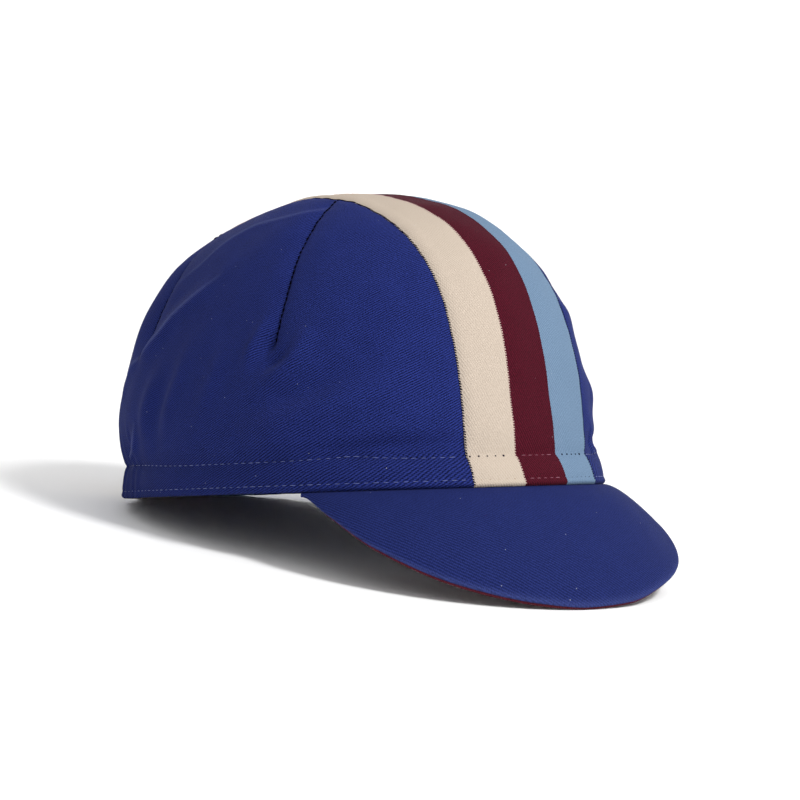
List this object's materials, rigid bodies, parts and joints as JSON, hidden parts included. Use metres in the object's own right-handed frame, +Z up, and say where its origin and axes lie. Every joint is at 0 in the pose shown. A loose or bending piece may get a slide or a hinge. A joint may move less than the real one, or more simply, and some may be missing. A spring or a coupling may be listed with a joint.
{
  "type": "cycling cap",
  "caption": "Soft cotton cycling cap with darted side panels, a striped centre strip, a stitched hem and a short curved peak that points down.",
  "frame": {"origin": "centre of the bounding box on the resting plane", "axes": "+X towards the wearer's left, -Y towards the tip of the peak, +Z up; the cap leans back onto its hem and its peak"},
  "size_m": [0.1544, 0.2358, 0.1301],
  "materials": {
    "navy_cotton": "matte twill",
    "cream_cotton": "matte twill",
    "maroon_cotton": "matte twill",
    "sky_cotton": "matte twill"
  },
  "bodies": {
    "root": {"panel_right": "navy_cotton", "panel_left": "navy_cotton", "stripe_cream": "cream_cotton", "stripe_maroon": "maroon_cotton", "stripe_sky": "sky_cotton", "peak_top": "navy_cotton", "peak_underside": "maroon_cotton"}
  },
  "joints": []
}
